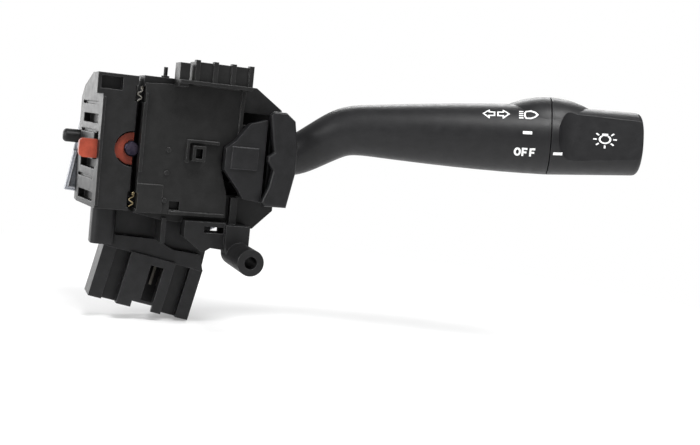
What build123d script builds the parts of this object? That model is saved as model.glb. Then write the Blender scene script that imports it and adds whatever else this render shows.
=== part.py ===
"""Combination stalk switch for a steering column: turn signals, dimmer and lights.

The origin is the driver's end of the screw boss. +X points along the lever to its knob, +Y away from
the driver and +Z up. All sizes are millimetres.
"""

from build123d import *
from math import cos, radians, sin
import os

# ---------------------------------------------------------------- driving dimensions
# Screw boss that holds the switch to the column bracket
boss_radius = 4.6
boss_hole_radius = 2.2
boss_length = 24.8

# Main housing, depths measured away from the driver
plate_front = 21.5
plate_thickness = 2.5
body_front = plate_front + plate_thickness
body_back = 55.5
body_left = -37.0
body_right = 12.8
body_top = 59.5
body_bottom = 10.0
shoulder_top = 52.5
shoulder_bottom = 16.0
shoulder_run = 10.0

# Hooks at the back, the small post on the top, the rib and the wall at the front
hook_spans = ((-35.0, -27.5), (-8.0, -2.0))
hook_height = 4.5
hook_drop = 3.5
hook_depth = 2.4
top_post_x = -29.0
top_post_y = 30.0
top_post_radius = 0.7
top_post_height = 3.8
rib_x = -2.4
rib_width = 2.4
end_wall_x = -26.4
end_wall_bottom = 2.0
end_wall_width = 1.6
end_wall_depth = 12.0

# Lever bay, the open pocket that the lever bracket swings in
bay_floor = 20.5
bay_ceiling = 50.5
bay_left = -13.0
bay_front_left = -8.0
bay_back = 38.0

# Toothed guide bracket on top of the front plate, and its side post
comb_left = -21.8
comb_right = -1.4
comb_front = 15.0
comb_overlap = 1.5
comb_height = 7.8
comb_rib = 1.6
comb_rib_count = 4
comb_rib_depth = 3.0
comb_rib_proud = 0.9
comb_ledge = 1.2
side_post_left = -26.8
side_post_width = 3.4
side_post_rise = 5.5
plate_rib = 1.2
plate_rib_proud = 0.8
plate_window = (-23.6, 15.6)
plate_window_width = 3.6
plate_window_height = 3.0
pip_radius = 0.8
socket_x = -17.2
socket_z = 34.6
socket_width = 4.4
socket_height = 5.4
socket_wall = 1.0
socket_depth = 4.2
corner_rib = 1.0
corner_rib_proud = 1.4
corner_rib_width = 11.4
corner_rib_height = 7.0
low_step_width = 9.0
low_step_proud = 0.5

# Slotted lug below the body, and the arm that carries the screw boss
lug_left = -19.8
lug_right = -5.4
lug_bottom = 1.4
lug_front = 18.0
lug_depth = 8.0
lug_side = 3.8
lug_nose = 7.0
lug_nose_drop = 1.0
lug_slot_height = 2.2
lug_slot_width = 7.0
arm_right = 3.0
arm_depth = 9.0
gusset_depth = 6.0

# Cancel unit on the column side, widening towards the back
frame_left = -50.3
frame_back_left = -54.2
frame_flare_end = 47.5
frame_right = -38.8
frame_front = 24.5
frame_back = 55.5
frame_top = 59.0
frame_bottom = 12.5
frame_wall = 2.2
slope_front = 38.0
slope_drop = 9.0
slat_depth = 2.4
slat_height = 3.2
slat_front = 28.0
slat_back = 46.0
cap_left = -52.4
cap_bottom = 51.8
cap_window_width = 7.2
cap_window_height = 4.4
cap_window_depth = 3.0
bead_width = 1.0
bead_proud = 0.8

# Bent leaf springs in the gap beside the cancel unit
leaf_x = -38.0
leaf_front = 24.8
leaf_depth = 2.4
leaf_width = 2.6
leaf_height = 5.6
leaf_gauge = 0.6
leaf_heights = (53.0, 16.4)

# Cancel pawl and its post
post_x = -38.9
post_z = 33.9
pawl_post_radius = 2.7
pawl_ring_radius = 5.6
post_front = 25.3
post_back = 34.0
post_seat = 4.0
pawl_front = 26.8
pawl_thickness = 4.4
pawl_reach = 16.2
nose_height = 6.5
nose_length = 7.0
nose_round = 1.6
nose_drop = 1.1
pawl_swing = 8.0
running_fit = 0.08
free_gap = 0.3

# Locating pin
pin_radius = 2.4
pin_tip = -60.2
pin_y = 52.6
pin_z = 35.6
pin_nose = 1.5

# Turn signal bracket, turning about a pin along Y
turn_x = -4.0
turn_z = 35.5
turn_pin_radius = 2.5
turn_pin_seat = 5.0
hub_radius = 7.0
bracket_front = 15.8
bracket_face = 4.4
bracket_left = -8.2
bracket_lip = 5.8
bracket_right = 12.4
bracket_band_width = 9.4
bracket_band_height = 7.7
bracket_band_proud = 0.7
bracket_height = 21.0
bracket_back = 36.0
bracket_waist = 5.5
bracket_rise = 13.1
bracket_fall = 16.2
slot_left = 3.3
root_gap = 0.3

# Dimmer pin along Z and the root of the lever that turns on it
dimmer_x = 8.0
dimmer_y = 28.4
dimmer_radius = 2.0
root_height = 9.4
root_width = 8.8
peg_size = 6.6
peg_length = 7.0

# Shield on the lever in front of the bay
shield_left = 5.2
shield_right = 16.6
shield_front = 12.2
shield_depth = 7.6
shield_lip = 2.4
shield_tooth = 35.2
shield_round = 0.9
shield_bottom = 18.4
shield_top = 51.9
dimple_length = 4.6
dimple_width = 1.8
dimple_depth = 1.2

# Lever: a curved neck, then a straight tapering stalk up to the knob
stalk_start = (44.6, 18.1, 48.7)
stalk_yaw = 26.0
stalk_rise = 3.1
seam_at = 65.0
knob_length = 33.0
seam_gap = 0.4
neck_radius = 6.9
stalk_start_radius = 9.4
stalk_end_radius = 12.5
knob_end_radius = 11.1
knob_facet = 8.8
knob_facet_tilt = 9.0
facet_start = 6.5
hump_height = 3.3
hump_angle = 118.0
hump_half_length = 16.5
notch_at = 0.45
notch_angle = 236.0
notch_floor = 6.6
notch_length = 9.0
notch_width = 3.2

# Knob shaft, spigot and detent
shaft_radius = 2.5
shaft_start = 8.0
spigot_radius = 8.8
spigot_length = 3.0
ball_radius = 1.5
ball_orbit = 5.6
spring_length = 7.0
spring_turns = 3
wire_radius = 0.35
stop_slot_width = 3.6
stop_slot_length = 6.2
stop_floor = 8.6
stop_radius = 1.2
stop_length = 4.5

# Connector with two rows of blades
connector_tilt = 12.4
connector_top = (-26.2, 43.5, -5.0)
connector_length = 19.5
connector_width = 37.4
connector_wall = 1.4
connector_floor = 2.5
raised_front = 9.5
tab_front = 7.5
wall_front = 4.5
wall_back = -6.2
feet_back = -9.3
shoulder_front = 39.0
column_left = -49.8
column_right = -41.4
column_front = 31.0
column_bottom = -0.6
column_round = 2.6
lip_proud = 3.4
latch_left = -3.4
latch_right = 4.2
latch_rib = 1.0
latch_rib_height = 3.6
latch_depth = 3.2
blade_thickness = 0.64
wide_blade = 2.3
narrow_blade = 1.0
blade_length = 8.5
blade_tail = 4.0
row_front = 1.1
row_back = -2.9
wide_left = (-13.6, -9.0, -4.4)
wide_right = (9.9, 13.5)
narrow_front = (-0.1, 2.7, 5.5)
narrow_back = (-5.2, -2.2, 0.7, 3.5)

# Snap-on rear cover
cover_back = 59.0
cover_wall = 1.2
cover_hollow = 1.2
cover_tabs = (-42.6, 8.4)
tab_size = 6.2
tab_wall = 1.2
cover_step = 0.6
cover_step_height = 2.6
facet_left = 2.5
facet_drop = 1.0
board_thickness = 0.8
board_x = -17.0
board_z = 23.0
board_width = 26.0
board_height = 23.0
strip_count = 4
strip_pitch = 5.6
strip_width = 1.8
strip_thickness = 0.3
strip_foot = 2.4


def facing(depth):
    """Sketch plane square to the driver at a depth; extruding by a negative amount goes away."""
    return Plane.XZ.offset(-depth)


def write(piece, name):
    """Label a finished piece and write its STEP file."""
    piece.part.label = name
    export_step(piece.part, f"parts/{name}.step")


os.makedirs("parts", exist_ok=True)

# Axis of the straight stalk, with local x towards the driver and local y down
axis_dir = Vector(
    cos(radians(stalk_yaw)) * cos(radians(stalk_rise)),
    -sin(radians(stalk_yaw)) * cos(radians(stalk_rise)),
    sin(radians(stalk_rise)),
)
driver_dir = Vector(-sin(radians(stalk_yaw)), -cos(radians(stalk_yaw)), 0)
up_dir = driver_dir.cross(axis_dir)


def along(distance, tilt=0.0):
    """Plane across the stalk, its local x turned up from the driver's side by tilt degrees."""
    sideways = driver_dir * cos(radians(tilt)) + up_dir * sin(radians(tilt))
    return Plane(origin=Vector(*stalk_start) + axis_dir * distance, x_dir=sideways, z_dir=axis_dir)


connector_plane = Plane(
    origin=connector_top,
    x_dir=(cos(radians(connector_tilt)), 0, -sin(radians(connector_tilt))),
    z_dir=(-sin(radians(connector_tilt)), 0, -cos(radians(connector_tilt))),
)

# ---------------------------------------------------------------- housing
lug_top = body_bottom + 1.0
pocket_back = leaf_front + leaf_depth + 0.2
pocket_width = leaf_width + 0.4
body_back_top = body_top - slope_drop
hook_top = body_back_top - hook_drop
hook_bottom = hook_top - hook_height


def spring_pockets():
    """Sketch of the two pockets that the leaf springs sit in, seen from the driver."""
    with BuildSketch() as pockets:
        with Locations(*[(leaf_x, z) for z in leaf_heights]):
            Rectangle(pocket_width, leaf_height)
    return pockets.sketch


with BuildPart() as housing:
    with BuildSketch(facing(body_front)):
        with BuildLine():
            Polyline(
                (body_left, body_bottom + 2),
                (body_left, body_top),
                (body_right - shoulder_run, body_top),
                (body_right, shoulder_top),
                (body_right, shoulder_bottom),
                (body_right - 7, body_bottom - 1),
                (lug_right, body_bottom - 1),
                (body_left + 10, body_bottom),
                close=True,
            )
        make_face()
    extrude(amount=-(body_back - body_front))
    # top falls away towards the back
    with BuildSketch(Plane.YZ.offset(body_left - 1)):
        with BuildLine():
            Polyline(
                (slope_front, body_top),
                (slope_front, body_top + 1),
                (body_back + 1, body_top + 1),
                (body_back + 1, body_back_top),
                (body_back, body_back_top),
                close=True,
            )
        make_face()
    extrude(amount=body_right - body_left + 2, mode=Mode.SUBTRACT)
    # two hooks at the back that the rear cover locks round
    with BuildSketch(facing(body_back)):
        for left, right in hook_spans:
            with Locations(((left + right) / 2, (hook_bottom + hook_top) / 2)):
                Rectangle(right - left, hook_top - hook_bottom)
    extrude(amount=-hook_depth)
    # small post on the top
    with BuildSketch(Plane.XY.offset(body_top)):
        with Locations((top_post_x, top_post_y)):
            Circle(top_post_radius)
    extrude(amount=top_post_height)
    with BuildSketch(Plane.XY.offset(body_top)):
        with Locations((top_post_x, top_post_y)):
            Circle(2 * top_post_radius)
    extrude(amount=top_post_height / 5)
    # slotted lug with its sloping corner
    with BuildSketch(facing(lug_front)):
        with BuildLine():
            Polyline(
                (lug_left, lug_top),
                (lug_left, lug_bottom + lug_side),
                (lug_left + lug_nose - 0.6, lug_bottom - lug_nose_drop),
                (lug_left + lug_nose + 0.4, lug_bottom - lug_nose_drop),
                (lug_left + lug_nose + 2.6, lug_bottom + 0.5),
                (lug_right, lug_bottom),
                (lug_right, lug_top),
                close=True,
            )
        make_face()
        with Locations((lug_right - lug_slot_width / 2 - 0.5, body_bottom - 1.7)):
            Rectangle(lug_slot_width, lug_slot_height, mode=Mode.SUBTRACT)
    extrude(amount=-lug_depth)
    # screw boss on its arm, with a gusset behind
    with BuildSketch(facing(0)):
        Circle(boss_radius)
    extrude(amount=-boss_length)
    with BuildSketch(facing(boss_length - arm_depth)):
        with BuildLine():
            Polyline(
                (lug_right - 0.2, lug_top - 0.5),
                (arm_right, lug_top - 0.5),
                (arm_right, 0),
                (-boss_radius, 0),
                (lug_right - 0.2, boss_radius - 0.6),
                close=True,
            )
        make_face()
    extrude(amount=-arm_depth)
    with BuildSketch(facing(boss_length)):
        with Locations(((lug_right + arm_right) / 2, (boss_radius + lug_top) / 2)):
            Rectangle(arm_right - lug_right, lug_top - boss_radius - 1)
    extrude(amount=-gusset_depth)
    # stiffening rib beside the bay and the wall at the end of the lower recess
    with BuildSketch(facing(body_front - 3)):
        with Locations((rib_x, (body_bottom + bay_floor) / 2)):
            Rectangle(rib_width, bay_floor - body_bottom - 1)
    extrude(amount=-3)
    with BuildSketch(facing(body_front - 1.5)):
        with Locations((end_wall_x, (end_wall_bottom + body_bottom + 1) / 2)):
            Rectangle(end_wall_width, body_bottom + 1 - end_wall_bottom)
    extrude(amount=-end_wall_depth)
    # lever bay
    with BuildSketch(facing(body_front)):
        with Locations(((bay_left + body_right) / 2, (bay_floor + bay_ceiling) / 2)):
            Rectangle(body_right - bay_left, bay_ceiling - bay_floor)
    extrude(amount=-(bay_back - body_front), mode=Mode.SUBTRACT)
    # seat of the bracket pin in the back wall of the bay
    with BuildSketch(facing(bay_back)):
        with Locations((turn_x, turn_z)):
            Circle(turn_pin_radius)
    extrude(amount=-turn_pin_seat, mode=Mode.SUBTRACT)
    # boss bore
    with BuildSketch(facing(0)):
        Circle(boss_hole_radius)
    extrude(amount=-boss_length, mode=Mode.SUBTRACT)
    # strip that meets the cancel unit behind its pawl, with the seats of the post and the springs
    with BuildSketch(facing(post_back)):
        with Locations(((body_left + frame_right) / 2, (frame_bottom + 4 + body_back_top) / 2)):
            Rectangle(body_left - frame_right, body_back_top - frame_bottom - 4)
    extrude(amount=-(body_back - post_back))
    with BuildSketch(facing(plate_front)):
        with Locations((post_x, post_z)):
            Circle(pawl_post_radius)
    extrude(amount=-(post_back + post_seat - plate_front), mode=Mode.SUBTRACT)
    with BuildSketch(facing(body_front)):
        add(spring_pockets())
    extrude(amount=-(pocket_back - body_front), mode=Mode.SUBTRACT)
write(housing, "housing")

# ---------------------------------------------------------------- front plate with the guide bracket
comb_middle = (comb_left + comb_right) / 2
comb_bottom = body_top - comb_overlap
comb_top = comb_bottom + comb_height
side_post_top = body_top + side_post_rise
rib_pitch = (comb_right - comb_left - comb_rib) / (comb_rib_count - 1)
corner_left = socket_x - socket_width / 2 - 1.7
pip_heights = (plate_window[1] + 1.6, socket_z - 7.7, socket_z + 0.3)

with BuildPart() as front_plate:
    with BuildSketch(facing(plate_front)):
        with BuildLine():
            Polyline(
                (body_left, frame_bottom),
                (lug_right + 0.3, frame_bottom),
                (lug_right, bay_floor + 0.7),
                (bay_front_left - 0.2, bay_floor + 9.5),
                (bay_front_left - 0.2, bay_floor + 17.2),
                (comb_right - 1, bay_floor + 20.5),
                (comb_right, body_top - 0.5),
                (body_left, body_top - 2.5),
                close=True,
            )
        make_face()
    extrude(amount=-plate_thickness)
    # toothed guide bracket standing on the plate's top edge, and the post beside it
    with BuildSketch(facing(comb_front)):
        with Locations((comb_middle, (comb_bottom + comb_top) / 2)):
            Rectangle(comb_right - comb_left, comb_top - comb_bottom)
        with Locations((side_post_left + side_post_width / 2, (side_post_top + body_top - 2.5) / 2)):
            Rectangle(side_post_width, side_post_top - body_top + 2.5)
    extrude(amount=-(body_front - comb_front))
    with BuildSketch(facing(comb_front - comb_rib_proud)):
        for rib in range(comb_rib_count):
            with Locations((comb_left + comb_rib / 2 + rib * rib_pitch, (comb_bottom + comb_top + 0.6) / 2)):
                Rectangle(comb_rib, comb_top - comb_bottom + 0.6)
    extrude(amount=-comb_rib_depth)
    # ledge under the teeth, running on as a bridge to the post
    with BuildSketch(facing(comb_front - 2 * comb_rib_proud)):
        with Locations(((side_post_left + comb_right) / 2, comb_bottom + comb_ledge / 2)):
            Rectangle(comb_right - side_post_left, comb_ledge)
    extrude(amount=-(body_front - comb_front + 2 * comb_rib_proud))
    # square socket and the L rib round it
    with BuildSketch(facing(plate_front - socket_depth)):
        with Locations((socket_x, socket_z)):
            Rectangle(socket_width, socket_height)
            Rectangle(socket_width - 2 * socket_wall, socket_height - 2 * socket_wall, mode=Mode.SUBTRACT)
    extrude(amount=-socket_depth)
    with BuildSketch(facing(plate_front - corner_rib_proud)):
        with Locations((corner_left + corner_rib_width / 2, socket_z + socket_height / 2 + 1.3)):
            Rectangle(corner_rib_width, corner_rib)
        with Locations((corner_left + corner_rib / 2, socket_z)):
            Rectangle(corner_rib, corner_rib_height)
    extrude(amount=-corner_rib_proud)
    # edge ribs
    with BuildSketch(facing(plate_front - plate_rib_proud)):
        with Locations(((comb_left + lug_right) / 2 - 2, frame_bottom + plate_rib / 2)):
            Rectangle(lug_right - comb_left + 3, plate_rib)
        with Locations((comb_right - plate_rib, (bay_ceiling + body_top) / 2 - 5)):
            Rectangle(plate_rib, body_top - bay_ceiling + 8)
        with Locations((body_left + plate_rib / 2, (bay_floor + body_top) / 2)):
            Rectangle(plate_rib, body_top - bay_floor - 12)
    extrude(amount=-plate_rib_proud)
    # low step across the plate's lower half
    with BuildSketch(facing(plate_front - low_step_proud)):
        with Locations((body_left + low_step_width / 2, (frame_bottom + bay_floor + 2) / 2)):
            Rectangle(low_step_width, bay_floor + 2 - frame_bottom)
    extrude(amount=-low_step_proud)
    # small square window with a pip above it
    with BuildSketch(facing(plate_front)):
        with Locations(plate_window):
            Rectangle(plate_window_width, plate_window_height)
    extrude(amount=-plate_thickness, mode=Mode.SUBTRACT)
    with BuildSketch(facing(plate_front - plate_rib_proud)):
        with Locations(*[(plate_window[0] - plate_window_width, z) for z in pip_heights]):
            Circle(pip_radius)
    extrude(amount=-plate_rib_proud)
    # room for the leaf springs
    with BuildSketch(facing(plate_front - 1)):
        add(spring_pockets())
    extrude(amount=-(plate_thickness + 1), mode=Mode.SUBTRACT)
write(front_plate, "front_plate")

# ---------------------------------------------------------------- cancel unit frame
frame_width = frame_right - frame_left
slat_heights = (43.0, 27.3, 16.0)
groove_heights = (48.4, 38.6, 22.6)
groove_height = 1.1
slat_length = slat_back - slat_front
side_run = Vector(frame_back_left - frame_left, frame_flare_end - frame_front, 0).normalized()
side_out = Vector(0, 0, 1).cross(side_run)
side_plane = Plane(origin=(frame_left, frame_front, 0), x_dir=side_run * -1, z_dir=side_out)
slat_middle = frame_front - (slat_front + slat_back) / 2
cavity_front = pawl_front - free_gap
cavity_depth = pawl_thickness + 2 * free_gap
nose_z = post_z - nose_drop
nose_travel = pawl_reach * sin(radians(pawl_swing))

with BuildPart() as cancel_frame:
    with BuildSketch(Plane.XY.offset(frame_bottom)):
        with BuildLine():
            Polyline(
                (frame_left, frame_front),
                (frame_back_left, frame_flare_end),
                (frame_back_left, frame_back),
                (frame_right, frame_back),
                (frame_right, frame_front),
                close=True,
            )
        make_face()
    extrude(amount=frame_top - frame_bottom)
    # cap at the front top with its window, and the bead down the front edge
    with BuildSketch(facing(frame_front)):
        with Locations(((cap_left + frame_right) / 2, (cap_bottom + frame_top) / 2)):
            Rectangle(frame_right - cap_left, frame_top - cap_bottom)
    extrude(amount=-(slope_front - frame_front) / 2)
    with BuildSketch(facing(frame_front - bead_proud)):
        with Locations((frame_left + bead_width / 2, (frame_bottom + cap_bottom) / 2)):
            Rectangle(bead_width, cap_bottom - frame_bottom - 2)
    extrude(amount=-bead_proud)
    with BuildSketch(facing(frame_front)):
        with Locations(((cap_left + frame_right) / 2 - 2, (cap_bottom + frame_top) / 2 + 0.4)):
            Rectangle(cap_window_width, cap_window_height)
    extrude(amount=-cap_window_depth, mode=Mode.SUBTRACT)
    with BuildSketch(Plane.YZ.offset(cap_left - 1)):
        with BuildLine():
            Polyline(
                (slope_front, frame_top),
                (slope_front, frame_top + 1),
                (frame_back + 1, frame_top + 1),
                (frame_back + 1, frame_top - slope_drop),
                (frame_back, frame_top - slope_drop),
                close=True,
            )
        make_face()
    extrude(amount=frame_right - cap_left + 2, both=True, mode=Mode.SUBTRACT)
    # pawl chamber, its mouth on the column side and the round window over the post
    with BuildSketch(facing(cavity_front)):
        with Locations(((frame_left + frame_wall + frame_right) / 2, post_z)):
            Rectangle(frame_width - frame_wall, 2 * (pawl_ring_radius + 3.2))
        with Locations((frame_left, nose_z)):
            Rectangle(3 * frame_wall, nose_height + 2 * nose_travel + 3 * free_gap)
    extrude(amount=-cavity_depth, mode=Mode.SUBTRACT)
    with BuildSketch(facing(frame_front)):
        with Locations((post_x, post_z)):
            Circle(pawl_ring_radius + 0.6)
    extrude(amount=-(pawl_front - frame_front), mode=Mode.SUBTRACT)
    with BuildSketch(facing(cavity_front)):
        with Locations((post_x, post_z)):
            Circle(pawl_post_radius)
    extrude(amount=-(post_back + post_seat - cavity_front), mode=Mode.SUBTRACT)
    with BuildSketch(facing(frame_front)):
        add(spring_pockets())
    extrude(amount=-(pocket_back - frame_front), mode=Mode.SUBTRACT)
    # deep slots and fine grooves along the flared side
    with BuildSketch(side_plane):
        with Locations(*[(slat_middle, z) for z in slat_heights]):
            Rectangle(slat_length, slat_height)
    extrude(amount=-slat_depth, mode=Mode.SUBTRACT)
    with BuildSketch(side_plane):
        with Locations(*[(slat_middle - 2, z) for z in groove_heights]):
            Rectangle(slat_length, groove_height)
    extrude(amount=-slat_depth / 3, mode=Mode.SUBTRACT)
write(cancel_frame, "cancel_frame")

with BuildPart() as locating_pin:
    with BuildSketch(Plane.YZ.offset(frame_back_left)):
        with Locations((pin_y, pin_z)):
            Circle(pin_radius)
    extrude(amount=pin_tip - frame_back_left)
    fillet(locating_pin.edges().group_by(Axis.X)[0], pin_nose)
write(locating_pin, "locating_pin")

with BuildPart() as leaf_springs:
    for height in leaf_heights:
        low = height - leaf_height / 2
        with BuildSketch(facing(leaf_front)):
            with BuildLine():
                Polyline(
                    (leaf_x - leaf_width / 2, low),
                    (leaf_x + leaf_width / 2 - leaf_gauge, low + leaf_height * 0.3),
                    (leaf_x - leaf_width / 2, low + leaf_height * 0.6),
                    (leaf_x + leaf_width / 2 - leaf_gauge, low + leaf_height),
                    (leaf_x + leaf_width / 2, low + leaf_height),
                    (leaf_x - leaf_width / 2 + leaf_gauge, low + leaf_height * 0.6),
                    (leaf_x + leaf_width / 2, low + leaf_height * 0.3),
                    (leaf_x - leaf_width / 2 + leaf_gauge, low),
                    close=True,
                )
            make_face()
        extrude(amount=-leaf_depth)
write(leaf_springs, "leaf_springs")

# ---------------------------------------------------------------- cancel pawl and post
with BuildPart() as pawl_post:
    with BuildSketch(facing(post_front)):
        with Locations((post_x, post_z)):
            Circle(pawl_post_radius)
    extrude(amount=-(post_back + post_seat - post_front))
    chamfer(pawl_post.edges().group_by(Axis.Y)[0], 0.5)
write(pawl_post, "pawl_post")

fork_end = post_x + 0.4

with BuildPart() as cancel_pawl:
    with BuildSketch(facing(pawl_front)):
        with Locations((post_x, post_z)):
            Circle(pawl_ring_radius)
        with Locations((post_x - pawl_reach / 2, nose_z)):
            Rectangle(pawl_reach - 1, nose_height - 1.5)
        with Locations((post_x - pawl_reach + 2, nose_z)):
            RectangleRounded(nose_length, nose_height, nose_round)
        with Locations((post_x, post_z)):
            Circle(pawl_post_radius + running_fit, mode=Mode.SUBTRACT)
        with Locations((fork_end + pawl_ring_radius, post_z)):
            Rectangle(2 * pawl_ring_radius, 3 * pawl_ring_radius, mode=Mode.SUBTRACT)
    extrude(amount=-pawl_thickness)
write(cancel_pawl, "cancel_pawl")

# ---------------------------------------------------------------- turn signal bracket
with BuildPart() as turn_pin:
    with BuildSketch(facing(bracket_front + bracket_face + 0.8)):
        with Locations((turn_x, turn_z)):
            Circle(turn_pin_radius)
    extrude(amount=-(bay_back + turn_pin_seat - bracket_front - bracket_face - 0.8))
    chamfer(turn_pin.edges().group_by(Axis.Y)[0], 0.4)
write(turn_pin, "turn_pin")

bracket_mid = bracket_front + bracket_face
face_width = bracket_lip - bracket_left
core_front = body_front + free_gap
root_bottom = turn_z - root_height / 2

with BuildPart() as turn_bracket:
    with BuildSketch(facing(bracket_front)):
        with BuildLine():
            Polyline(
                (bracket_left, turn_z - bracket_waist),
                (bracket_left, turn_z + 0.16 * bracket_rise),
                (bracket_left + 0.235 * face_width, turn_z + 0.37 * bracket_rise),
                (bracket_left + 0.565 * face_width, turn_z + 0.86 * bracket_rise),
                (bracket_lip, turn_z + bracket_rise),
                (bracket_lip, turn_z - bracket_fall),
                (bracket_left + 0.53 * face_width, turn_z - 0.945 * bracket_fall),
                (bracket_left + 0.4 * face_width, turn_z - 0.77 * bracket_fall),
                close=True,
            )
        make_face()
    extrude(amount=-bracket_face)
    with BuildSketch(facing(bracket_front - bracket_band_proud)):
        with Locations(((bracket_left + bracket_lip) / 2 - 0.2, turn_z - 1.0)):
            Rectangle(bracket_band_width, bracket_band_height)
    extrude(amount=-2 * bracket_band_proud)
    with BuildSketch(facing(bracket_mid)):
        with Locations((turn_x, turn_z)):
            Circle(turn_pin_radius + 1.2)
        with Locations(((turn_x + bracket_lip) / 2, turn_z)):
            Rectangle(bracket_lip - turn_x, 2 * (turn_pin_radius + 1.2))
    extrude(amount=-(core_front - bracket_mid))
    with BuildSketch(facing(core_front)):
        with Locations((turn_x, turn_z)):
            Circle(hub_radius)
        with Locations(((turn_x + bracket_right) / 2, turn_z)):
            Rectangle(bracket_right - turn_x, bracket_height)
    extrude(amount=-(bracket_back - core_front))
    # slot for the root of the lever
    with BuildSketch(facing(core_front)):
        with Locations(((slot_left + bracket_right + 1) / 2, turn_z)):
            Rectangle(bracket_right + 1 - slot_left, root_height + 2 * root_gap)
    extrude(amount=-(bracket_back - core_front), mode=Mode.SUBTRACT)
    with BuildSketch(facing(bracket_mid + 0.8)):
        with Locations((turn_x, turn_z)):
            Circle(turn_pin_radius + running_fit)
    extrude(amount=-(bracket_back - bracket_mid), mode=Mode.SUBTRACT)
    with BuildSketch(Plane.XY.offset(turn_z - bracket_height / 2)):
        with Locations((dimmer_x, dimmer_y)):
            Circle(dimmer_radius)
    extrude(amount=bracket_height, mode=Mode.SUBTRACT)
write(turn_bracket, "turn_bracket")

with BuildPart() as dimmer_pin:
    with BuildSketch(Plane.XY.offset(turn_z - bracket_height / 2 - 0.4)):
        with Locations((dimmer_x, dimmer_y)):
            Circle(dimmer_radius)
    extrude(amount=bracket_height + 0.8)
    chamfer(dimmer_pin.edges().group_by(Axis.Z)[0], 0.3)
write(dimmer_pin, "dimmer_pin")

# ---------------------------------------------------------------- lever root and shield
root_right = bracket_right + 2.0
shield_back = shield_front + shield_depth
shield_cut = 2 * (bracket_lip - shield_left) + 5.8
neck_y = 27.2
neck_z = 36.0

with BuildPart() as lever_root:
    with BuildSketch(Plane.XY.offset(root_bottom)):
        with Locations((dimmer_x, dimmer_y)):
            Circle(root_width / 2)
        with Locations(((dimmer_x + root_right) / 2, dimmer_y)):
            Rectangle(root_right - dimmer_x, root_width)
        with Locations(((bracket_right + 0.4 + root_right) / 2, (shield_back + dimmer_y + root_width / 2) / 2)):
            Rectangle(root_right - bracket_right - 0.4, dimmer_y + root_width / 2 - shield_back)
        with Locations((dimmer_x, dimmer_y)):
            Circle(dimmer_radius + running_fit, mode=Mode.SUBTRACT)
    extrude(amount=root_height)
    with BuildSketch(Plane.YZ.offset(root_right)):
        with Locations((neck_y, neck_z)):
            Rectangle(peg_size, peg_size)
    extrude(amount=peg_length)
write(lever_root, "lever_root")

with BuildPart() as lever_shield:
    with BuildSketch(facing(shield_front)):
        with BuildLine():
            Polyline(
                (shield_left, shield_bottom + 1.4),
                (shield_left + 2.2, shield_bottom + 7.0),
                (shield_left + 3.2, shield_bottom + 12.8),
                (shield_left + 1.0, shield_tooth - 0.9),
                (shield_left + 1.0, shield_tooth + 0.9),
                (shield_left + 3.0, shield_tooth + 2.5),
                (shield_left + 2.4, shield_tooth + 5.0),
                (shield_left + 0.6, shield_top - 1.4),
                (shield_left + 1.6, shield_top),
                (shield_right - 5.2, shield_top),
                (shield_right - 1.7, shield_top - 2.7),
                (shield_right, shield_top - 12),
                (shield_right, shield_bottom + 12.1),
                (shield_right - 2.2, shield_bottom),
                (shield_left + 1.2, shield_bottom),
                close=True,
            )
        make_face()
    extrude(amount=-shield_depth)
    fillet(lever_shield.faces().sort_by(Axis.Y)[0].edges(), shield_round)
    with BuildSketch(Plane.XY.offset(shield_bottom)):
        with Locations((shield_left, shield_front + shield_lip + shield_depth / 2)):
            Rectangle(shield_cut, shield_depth)
    extrude(amount=shield_top - shield_bottom, mode=Mode.SUBTRACT)
    # dimple at the top end
    with BuildSketch(Plane.XY.offset(shield_top)):
        with Locations(((shield_left + shield_right) / 2 - 0.6, shield_front + 4.2)):
            SlotOverall(dimple_length, dimple_width)
    extrude(amount=-dimple_depth, mode=Mode.SUBTRACT)
write(lever_shield, "lever_shield")

# ---------------------------------------------------------------- stalk
neck_points = [
    (root_right, neck_y, neck_z),
    (25.0, 26.2, 39.6),
    (33.0, 23.2, 45.2),
    stalk_start,
]
with BuildLine(mode=Mode.PRIVATE) as neck_line:
    Spline(neck_points, tangents=[(1, 0, 0), axis_dir])
taper_steps = 8
taper = [
    (
        stalk_start_radius + (stalk_end_radius - stalk_start_radius) * sin(radians(90 * k / taper_steps)),
        seam_at * k / taper_steps,
    )
    for k in range(taper_steps + 1)
]
lever_profile = Plane(origin=stalk_start, x_dir=driver_dir, z_dir=driver_dir.cross(axis_dir))

hump_start = seam_at - hump_half_length
hump_end = seam_at + hump_half_length - 1
recess_floor = seam_at - spigot_length
shaft_end = seam_at + 15
detent_angle = -90.0
detent_depth = spring_length + ball_radius + 0.9
ball_at = recess_floor - 0.5
spring_radius = ball_radius - wire_radius - 0.05
hump_dir = along(0, hump_angle).x_dir
hump_plane = Plane(
    origin=Vector(*stalk_start) + hump_dir * hump_height,
    x_dir=hump_dir,
    z_dir=hump_dir.cross(axis_dir),
)
stop_dir = along(0, 193).x_dir
stop_plane = Plane(origin=along(40).origin, x_dir=stop_dir.cross(axis_dir), z_dir=stop_dir)
notch_axis = (neck_line.line % notch_at).normalized()
notch_dir = along(0, notch_angle).x_dir
notch_dir = (notch_dir - notch_axis * notch_dir.dot(notch_axis)).normalized()
notch_plane = Plane(
    origin=(neck_line.line @ notch_at) + notch_dir * notch_floor,
    x_dir=notch_axis,
    z_dir=notch_dir,
)


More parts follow.
